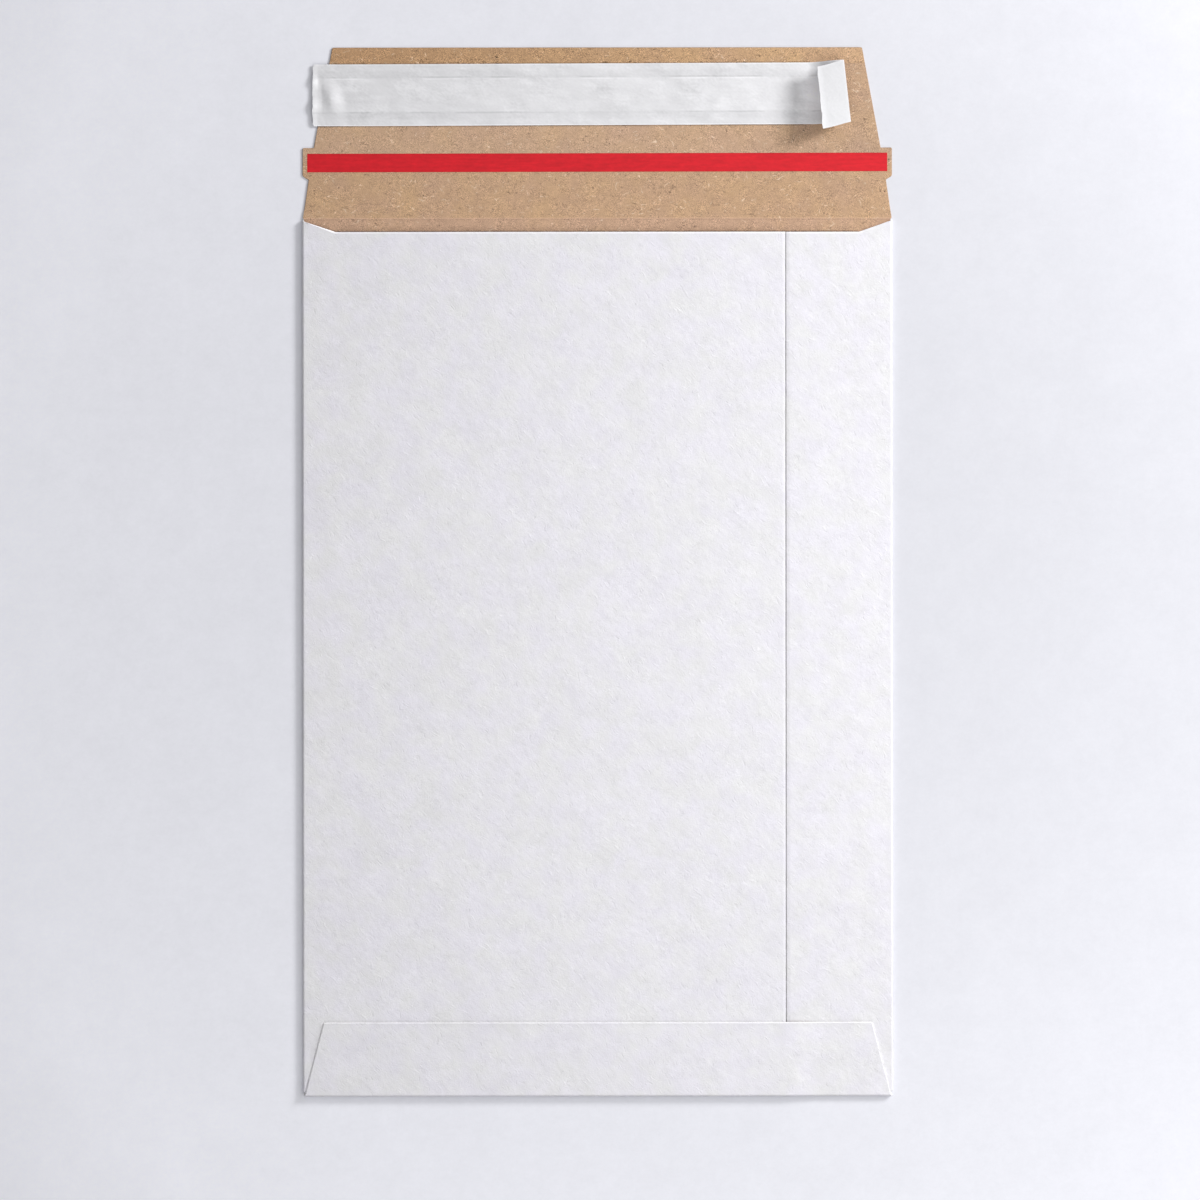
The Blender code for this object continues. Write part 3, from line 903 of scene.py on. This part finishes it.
def mouth_highlight(tree, x, y):
    """Painted highlight along the mouth's cut edge, stronger along its left-hand slant."""
    line = line_mask(tree, past_mouth(tree, x, y), -0.3 * MM, 0.3 * MM, 0.25 * MM)
    on_slant = times(tree, minus(tree, 1.0, off_slants(tree, x)), under(tree, x, 0.0))
    return times(tree, line, sloped(tree, on_slant, 1.8, 1.0))


def bottom_flap_end_highlight_and_shade(tree, x, y):
    """Painted highlight along the bottom flap's cut end, and painted shade beyond it, with their
    weights.
    """
    on_flap = under(tree, size_of(tree, x), HALF_WIDTH - BOTTOM_FLAP_TAPER)
    edge = line_mask(tree, y, BOTTOM_FLAP_END_Y - 0.2 * MM, 0.14 * MM, 0.2 * MM)
    beyond = BOTTOM_FLAP_END_Y + 0.35 * MM
    shade = line_mask(tree, y, beyond, 0.2 * MM, 0.5 * MM)
    haze = line_mask(tree, y, beyond, 0.2 * MM, 2.4 * MM)
    shade = times(tree, weighted_sum(tree, (shade, 0.08), (haze, 0.05)), on_flap)
    return (times(tree, edge, on_flap), 0.17), (shade, -1.0)


def bottom_flap_side_highlight_and_shade(tree, x, y):
    """Painted highlight along the bottom flap's left-hand cut edge, and faint painted shade beside
    it.
    """
    outside = sloped(tree, minus(tree, y, BOTTOM_Y), FLAP_SIDE_SLOPE, size_of(tree, x))
    outside = minus(tree, outside, HALF_WIDTH - 0.3 * MM)
    edge = line_mask(tree, outside, 0.1 * MM, 0.4 * MM, 0.35 * MM)
    haze = line_mask(tree, outside, 1.1 * MM, 0.3 * MM, 1.2 * MM)
    side = times(tree, weighted_sum(tree, (edge, 0.2), (haze, -0.05)), under(tree, x, 0.0))
    return times(tree, side, under(tree, y, BOTTOM_FLAP_END_Y))


def seam_shade_and_highlight(tree, x, y):
    """Painted shade along the seam, a painted highlight on the wide panel's lip and faint painted
    shade on the strip.
    """
    seam = line_mask(tree, x, SEAM_X + 0.13 * MM, 0.2 * MM, 0.14 * MM)
    lip = line_mask(tree, x, SEAM_X - 0.7 * MM, 0.4 * MM, 0.4 * MM)
    haze = line_mask(tree, x, SEAM_X + 0.6 * MM, 0.3 * MM, 2.5 * MM)
    lines = weighted_sum(tree, (seam, -SEAM_SHADE), (lip, 0.05), (haze, -0.02))
    return times(tree, lines, over(tree, y, BOTTOM_FLAP_END_Y))


def front_highlights_and_shade(tree, place):
    """All painted highlights and shade on the front, as a level."""
    x, y, z = axes(tree, place)
    lines = weighted_sum(
        tree,
        (mouth_highlight(tree, x, y), 0.2),
        *bottom_flap_end_highlight_and_shade(tree, x, y),
        (bottom_flap_side_highlight_and_shade(tree, x, y), 1.0),
        (seam_shade_and_highlight(tree, x, y), 1.0),
    )
    return times(tree, lines, over(tree, z, PANEL_TOP / 2))


def white_board_face():
    """Pressed board with a felt-like texture: fine grain and short curved hairs, mostly slanting."""
    material, tree, shader, place = new_material("white_board_face", roughness=0.62, specular=0.35)
    cloud = mottle(tree, place, Scale=24.0, Detail=3.0)
    patch = mottle(tree, place, Scale=170.0, Detail=3.0, Stretch=1.4, Turn=STREAK_TURN)
    felt = mottle(tree, place, Scale=480.0, Stretch=1.5, Turn=STREAK_TURN)
    grain = mottle(tree, place, Scale=1700.0, Roughness=0.6)
    hairs = flecks(
        tree, place, Scale=1000.0, Size=0.36, Share=0.26, Stretch=6.0, Turn=STREAK_TURN, Curl=0.0035
    )
    dents = flecks(
        tree, place, Scale=950.0, Size=0.36, Share=0.26, Stretch=5.0, Turn=DENT_TURN, Curl=0.0045
    )
    strays = flecks(
        tree, place, Scale=1050.0, Size=0.34, Share=0.16, Stretch=6.0, Turn=STRAY_TURN, Curl=0.0045
    )
    specks = flecks(tree, place, Scale=420.0, Size=0.16, Share=0.05)
    relief = weighted_sum(
        tree, (felt, 0.06), (grain, 0.085), (hairs, 0.06), (dents, -0.06), (strays, -0.04)
    )
    level = weighted_sum(
        tree,
        (patchy(tree, place, 150.0, relief), 1.0),
        (cloud, 0.022),
        (patch, 0.075),
        (specks, -0.12),
        # painted highlights and shade along the mouth, the bottom flap's edges and the seam
        (front_highlights_and_shade(tree, place), 1.0),
    )
    height = weighted_sum(
        tree, (felt, 0.8), (grain, 0.5), (hairs, 0.9), (dents, -0.9), (strays, -0.6)
    )
    hue = sloped(tree, mottle(tree, place, Scale=110.0), 1.6, 0.5, clamp=True)
    base = blend(tree, hue, WHITE_NEUTRAL, WHITE_VIOLET)
    drive(tree, shader, scaled(tree, base, level), height, depth=0.07 * MM)
    return material


def liner_shade(tree, x, y):
    """Painted contact shade: the dark line on the flap where the liner touches it."""
    aside = size_of(tree, minus(tree, sloped(tree, x, -LINER_SKEW, y), LINER_Y))
    line = line_mask(tree, aside, LINER_WIDTH / 2 + 0.1 * MM, 0.2 * MM, 0.35 * MM)
    return times(tree, line, under(tree, x, LIFT_FOLD_X - LIFT_RUN))


def inner_lines(tree, x, y):
    """The crease's lit and shaded sides, and the shade at the mouth, with their weights."""
    crease = line_mask(tree, y, CREASE_Y - 0.15 * MM, 0.15 * MM, 0.25 * MM)
    crease_side = line_mask(tree, y, CREASE_Y - 0.55 * MM, 0.15 * MM, 0.3 * MM)
    from_mouth = past_mouth(tree, x, y)
    near_mouth = line_mask(tree, from_mouth, 0, 0.3 * MM, 0.35 * MM)
    by_mouth = line_mask(tree, from_mouth, 0, 0.6 * MM, 2.2 * MM)
    straight = off_slants(tree, x)
    near_mouth = times(tree, near_mouth, sloped(tree, straight, 0.9, 0.1))
    by_mouth = times(tree, by_mouth, straight)
    return (crease, 0.17), (crease_side, -0.08), (near_mouth, -0.46), (by_mouth, -0.1)


def kraft_board_face():
    """Brown liner: blotchy grain, pale and dark fibres, specks, and painted light and shade at the
    crease and mouth.
    """
    material, tree, shader, place = new_material("kraft_board_face", roughness=0.8, specular=0.25)
    x, y = axes(tree, place)[:2]
    cloud = mottle(tree, place, Scale=70.0, Detail=3.0)
    patch = mottle(tree, place, Scale=260.0)
    blotch = mottle(tree, place, Scale=900.0, Stretch=1.5, Turn=0.25)
    grain = mottle(tree, place, Scale=2900.0, Roughness=0.7)
    light = flecks(
        tree, place, Scale=1150.0, Size=0.36, Share=0.2, Stretch=7.0, Turn=-0.35, Curl=0.005
    )
    cross = flecks(
        tree, place, Scale=1100.0, Size=0.34, Share=0.17, Stretch=8.0, Turn=0.9, Curl=0.006
    )
    dark = flecks(
        tree, place, Scale=1150.0, Size=0.38, Share=0.22, Stretch=5.0, Turn=0.3, Curl=0.005
    )
    long = flecks(tree, place, Scale=760.0, Size=0.2, Share=0.14, Stretch=9.0, Turn=0.5, Curl=0.012)
    specks = flecks(tree, place, Scale=620.0, Size=0.28, Share=0.1)
    # Zones: above the liner, from the tape up to there, and the ends of both
    top_band = over(tree, y, LINER_Y + LINER_WIDTH / 2)
    below_top = minus(tree, 1.0, top_band)
    between = minus(tree, over(tree, y, TAPE_Y), top_band)
    to_right = sloped(tree, x, 1 / KRAFT_RUN, 0.5, clamp=True)
    top_left = times(tree, top_band, minus(tree, 1.0, to_right))
    right_side = times(tree, times(tree, to_right, to_right), below_top)
    right_end = times(tree, ramp(tree, x, RIGHT_END_X, RIGHT_END_RUN), between)
    fibres = weighted_sum(
        tree,
        (grain, 0.95),
        (blotch, 0.15),
        (long, 0.3),
        (light, 0.3),
        (cross, 0.26),
        (dark, -0.48),
        (specks, -0.65),
    )
    fibres = times(tree, fibres, sloped(tree, top_band, 0.4, 1.0))
    level = weighted_sum(
        tree,
        (patchy(tree, place, 190.0, fibres), 1.0),
        (cloud, 0.1),
        (patch, 0.11),
        (top_left, -0.13),
        (right_side, -0.065),
        # painted contact shade beside the liner, then painted light and shade at the crease and the
        # mouth
        (liner_shade(tree, x, y), -0.3),
        *inner_lines(tree, x, y),
        (right_end, -0.07),
    )
    hue = sloped(tree, under(tree, y, CREASE_Y), -0.5, sloped(tree, cloud, 0.8, 0.5))
    hue = weighted_sum(tree, (hue, 1.0), (top_band, 0.15), (top_left, 0.6), (between, -0.2))
    base = blend(tree, top_left, blend(tree, hue, KRAFT_PINK, KRAFT_OCHRE), KRAFT_ORANGE)
    pale = math_node(tree, "MAXIMUM", light, math_node(tree, "MAXIMUM", cross, long))
    pale = sloped(tree, pale, 0.8, times(tree, between, 0.1))
    base = blend(tree, pale, base, KRAFT_FIBRE)
    height = weighted_sum(tree, (grain, 0.6), (blotch, 0.4), (light, 0.7), (cross, 0.7))
    drive(tree, shader, scaled(tree, base, level), height, depth=0.07 * MM)
    return material


def board_rim_face():
    """The die-cut rim, where the pale core shows, made paler still as a painted highlight along the
    cut edges.
    """
    material, tree, shader, place = new_material("board_rim_face", roughness=0.8, specular=0.2)
    layers = mottle(tree, place, Scale=2500.0, Stretch=6.0)
    level = weighted_sum(tree, (layers, 0.05))
    drive(tree, shader, scaled(tree, RIM_PALE_AND_HIGHLIGHT, level), layers, depth=0.03 * MM)
    return material


def flap_rim_face():
    """The closing flap's cut rim, a darker line round the brown face."""
    material, tree, shader, place = new_material("flap_rim_face", roughness=0.85, specular=0.2)
    layers = mottle(tree, place, Scale=1500.0, Stretch=4.0)
    level = weighted_sum(tree, (layers, 0.12))
    drive(tree, shader, scaled(tree, RIM_BROWN, level), layers, depth=0.03 * MM)
    return material


def red_tear_film():
    """Drawn film, with fine lines along it and darker slit edges."""
    material, tree, shader, place = new_material("red_tear_film", roughness=0.45, specular=0.3)
    x, y = axes(tree, place)[:2]
    cloud = mottle(tree, place, Scale=110.0, Detail=3.0)
    drawn = mottle(tree, place, Scale=1100.0, Stretch=12.0)
    grain = mottle(tree, place, Scale=900.0, Stretch=2.0)
    across = size_of(tree, minus(tree, sloped(tree, x, -TAPE_SKEW, y), TAPE_Y))
    slit = line_mask(tree, across, TAPE_WIDTH / 2, 0.12 * MM, 0.3 * MM)
    level = weighted_sum(tree, (cloud, 0.09), (drawn, 0.16), (grain, 0.16), (slit, -0.16))
    drive(tree, shader, scaled(tree, FILM_RED, level), drawn, depth=0.02 * MM)
    return material


def flat_place(tree):
    """Where a point of the liner lies on the flat strip: x, and y from its middle line."""
    flat = add_node(
        tree, "ShaderNodeAttribute", attribute_name="flat_place", attribute_type="GEOMETRY"
    )
    return axes(tree, flat.outputs["Vector"])[:2]


def liner_tone_and_painted_light(tree, along, up, streak):
    """The adhesive's broken outline in painted shade with a painted highlight within its upper edge,
    the darker margins, and painted highlights along the liner's own edges, with their weights.
    """
    aside = size_of(tree, up)
    broken = sloped(tree, streak, 3.5, 0.5, clamp=True)
    margin = over(tree, aside, ADHESIVE_HALF)
    haze = line_mask(tree, aside, ADHESIVE_HALF + 1.4 * MM, 1.0 * MM, 0.9 * MM)
    # painted shade and highlight where the liner rises over the adhesive's edges
    outline = line_mask(tree, aside, ADHESIVE_HALF + 0.3 * MM, 0.15 * MM, 0.35 * MM)
    inside_highlight = line_mask(tree, up, ADHESIVE_HALF - 0.35 * MM, 0.15 * MM, 0.3 * MM)
    # painted highlights along the liner's cut and torn edges
    cut_edge = line_mask(tree, aside, LINER_WIDTH / 2, 0.35 * MM, 0.25 * MM)
    lower_edge_highlight = line_mask(tree, up, -LINER_WIDTH / 2, 0.35 * MM, 0.25 * MM)
    torn_edge_highlight = line_mask(tree, along, LINER_LEFT + 0.6 * MM, 0.8 * MM, 1.2 * MM)
    return (
        (margin, -0.02),
        (haze, -0.04),
        (times(tree, outline, broken), -0.15),
        (times(tree, inside_highlight, broken), 0.1),
        (cut_edge, 0.1),
        (lower_edge_highlight, 0.05),
        (torn_edge_highlight, 0.17),
    )


def leaf_glow(tree, along, up):
    """Painted light: the paler zone beside the turned-back end, where light comes through its thin
    paper.
    """
    glow = ramp(tree, along, LEAF_GLOW_X, LEAF_GLOW_RUN)
    above_end = ramp(tree, up, -LEAF_GLOW_UP, LEAF_GLOW_RUN_BELOW)
    below_end = sloped(tree, fade(tree, up, LEAF_GLOW_UP, LEAF_GLOW_RUN_ABOVE), 0.5, 0.5)
    return times(tree, glow, times(tree, above_end, below_end))


def coated_paper():
    """Coated paper, cloudy, with darker margins beside the adhesive, painted shade and highlights
    along the adhesive's and its own edges, and painted light beside the turned-back end.
    """
    material, tree, shader, place = new_material("coated_paper", roughness=0.37)
    cloud = mottle(tree, place, Scale=90.0, Detail=3.0, Stretch=1.8, Turn=PAPER_TURN)
    streak = mottle(tree, place, Scale=420.0, Stretch=5.0, Turn=0.06)
    middling = mottle(tree, place, Scale=280.0, Stretch=1.6, Turn=PAPER_TURN)
    fine = mottle(tree, place, Scale=1100.0, Stretch=1.5, Turn=0.5)
    grain = weighted_sum(tree, (middling, 0.085), (streak, 0.1), (fine, 0.1))
    along, up = flat_place(tree)
    level = weighted_sum(
        tree,
        (patchy(tree, place, 90.0, grain), 1.0),
        (cloud, 0.1),
        *liner_tone_and_painted_light(tree, along, up, streak),
        (leaf_glow(tree, along, up), 0.26),
    )
    height = weighted_sum(tree, (cloud, 1.0), (streak, 0.5), (fine, 0.2))
    drive(tree, shader, scaled(tree, PAPER_COATED, level), height, depth=0.1 * MM)
    return material


def liner_back():
    """The liner's uncoated back, on its turned-back end, its grey darkened as painted shade against
    the stronger light on the tilted leaf, with painted highlights along its fold and its edges.
    """
    material, tree, shader, place = new_material("liner_back", roughness=0.7, specular=0.3)
    cloud = mottle(tree, place, Scale=120.0, Detail=3.0, Stretch=2.0, Turn=0.9)
    fine = mottle(tree, place, Scale=1000.0)
    along, up = flat_place(tree)
    # painted highlights along the leaf's cut edges, its fold and its loose end
    cut_edge = line_mask(tree, size_of(tree, up), LINER_WIDTH / 2, 0.3 * MM, 0.5 * MM)
    past_fold = sloped(tree, up, math.tan(LIFT_FOLD_TILT), along)
    fold = line_mask(tree, past_fold, LIFT_FOLD_X + 1.1 * MM, 0.5 * MM, 0.8 * MM)
    loose = line_mask(tree, along, LINER_RIGHT, 0.6 * MM, 2.2 * MM)
    level = weighted_sum(
        tree, (cloud, 0.1), (fine, 0.07), (cut_edge, 0.06), (fold, 0.03), (loose, 0.12)
    )
    drive(tree, shader, scaled(tree, PAPER_BACK_AND_SHADE, level), cloud, depth=0.1 * MM)
    return material


def hidden_film(name, color, roughness):
    """Adhesive and glue: a cloudy film with brush marks."""
    material, tree, shader, place = new_material(name, roughness)
    marks = mottle(tree, place, Scale=700.0, Stretch=5.0)
    cloud = mottle(tree, place, Scale=200.0)
    level = weighted_sum(tree, (marks, 0.04), (cloud, 0.06))
    drive(tree, shader, scaled(tree, color, level), marks, depth=0.02 * MM)
    return material


def pale_floor():
    """Even floor, faintly clouded, which fades for the camera to the backdrop's plain colour."""
    material, tree, shader, place = new_material("pale_floor", roughness=0.7, specular=0.2)
    cloud = mottle(tree, place, Scale=14.0, Detail=3.0)
    fine = mottle(tree, place, Scale=40.0, Detail=5.0, Roughness=1.0)
    texture = weighted_sum(tree, (cloud, 0.018), (fine, 0.085))
    x, y = axes(tree, place)[:2]
    tone = weighted_sum(
        tree,
        (x, FLOOR_SLOPE_X),
        (y, FLOOR_SLOPE_Y),
        (times(tree, x, x), FLOOR_CURVE_X),
        (times(tree, y, y), FLOOR_CURVE_Y),
        (times(tree, x, y), FLOOR_TWIST),
    )
    tone = math_node(tree, "MINIMUM", math_node(tree, "ADD", tone, FLOOR_TONE), FLOOR_LIGHTEST)
    tone = math_node(tree, "MAXIMUM", tone, FLOOR_DARKEST)
    tone = times(tree, tone, math_node(tree, "ADD", texture, 1.0))
    tree.links.new(vector_node(tree, "SCALE", FLOOR_TINT, tone), shader.inputs["Base Color"])
    away = add_node(tree, "ShaderNodeVectorMath", {0: place}, operation="LENGTH").outputs["Value"]
    away = ramp(tree, away, FLOOR_NEAR, FLOOR_FAR - FLOOR_NEAR)
    away = times(tree, away, sloped(tree, away, -1.0, 2.0))
    share = times(tree, away, camera_ray(tree))
    plain = add_node(tree, "ShaderNodeEmission", {"Color": BACKDROP, "Strength": 1.0})
    show_to_camera(tree, share, shader.outputs[0], plain.outputs[0], "Material Output")
    return material


def repaint(node, material):
    """Gives a kept node its finish, in the material slots that it already has."""
    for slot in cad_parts[node].material_slots:
        slot.material = material


# Stage

def add_floor():
    bm = bmesh.new()
    bmesh.ops.create_grid(bm, x_segments=1, y_segments=1, size=FLOOR_HALF)
    bmesh.ops.translate(bm, vec=(0, 0, -FLOOR_DROP), verts=bm.verts)
    mesh = bpy.data.meshes.new("floor")
    bm.to_mesh(mesh)
    bm.free()
    mesh.materials.append(pale_floor())
    floor = bpy.data.objects.new("floor", mesh)
    bpy.context.scene.collection.objects.link(floor)


def add_camera():
    data = bpy.data.cameras.new("view")
    data.lens = VIEW_LENS
    data.sensor_width = VIEW_SENSOR
    data.clip_start = VIEW_NEAR
    data.clip_end = VIEW_FAR
    camera = bpy.data.objects.new("view", data)
    camera.location = (VIEW_X, VIEW_Y, VIEW_HEIGHT)
    camera.rotation_euler = (0, 0, VIEW_ROLL)
    bpy.context.scene.collection.objects.link(camera)
    bpy.context.scene.camera = camera


def add_lamp(name, turn, rise, distance, size, power):
    level = math.cos(rise)
    direction = Vector((level * math.cos(turn), level * math.sin(turn), math.sin(rise)))
    data = bpy.data.lights.new(name, "AREA")
    data.shape = "DISK"
    data.size = size
    data.energy = power
    lamp = bpy.data.objects.new(name, data)
    lamp.location = direction * distance
    lamp.rotation_euler = (-direction).to_track_quat("-Z", "Y").to_euler()
    bpy.context.scene.collection.objects.link(lamp)


def add_world():
    world = bpy.data.worlds.new("studio")
    bpy.context.scene.world = world
    world.use_nodes = True
    tree = world.node_tree
    background = tree.nodes["Background"]
    background.inputs["Color"].default_value = (1, 1, 1, 1)
    background.inputs["Strength"].default_value = SKY
    seen = add_node(tree, "ShaderNodeBackground", {"Color": BACKDROP, "Strength": 1.0})
    show_to_camera(tree, camera_ray(tree), background.outputs[0], seen.outputs[0], "World Output")


bpy.context.scene.view_settings.view_transform = "Standard"
add_camera()
add_lamp("key", KEY_TURN, KEY_RISE, KEY_DISTANCE, KEY_SIZE, KEY_POWER)
add_lamp("fill", FILL_TURN, FILL_RISE, FILL_DISTANCE, FILL_SIZE, FILL_POWER)
add_world()
add_floor()
folded_board([white_board_face(), kraft_board_face(), board_rim_face(), flap_rim_face()])
tear_film(red_tear_film())
liner_paper(coated_paper(), liner_back())
repaint("adhesive_strip", hidden_film("clear_adhesive", CLEAR_ADHESIVE, roughness=0.3))
glue = hidden_film("pale_glue", PALE_GLUE, roughness=0.5)
for node_name in ("side_seam_glue", "bottom_glue_on_panel", "bottom_glue_on_strip"):
    repaint(node_name, glue)
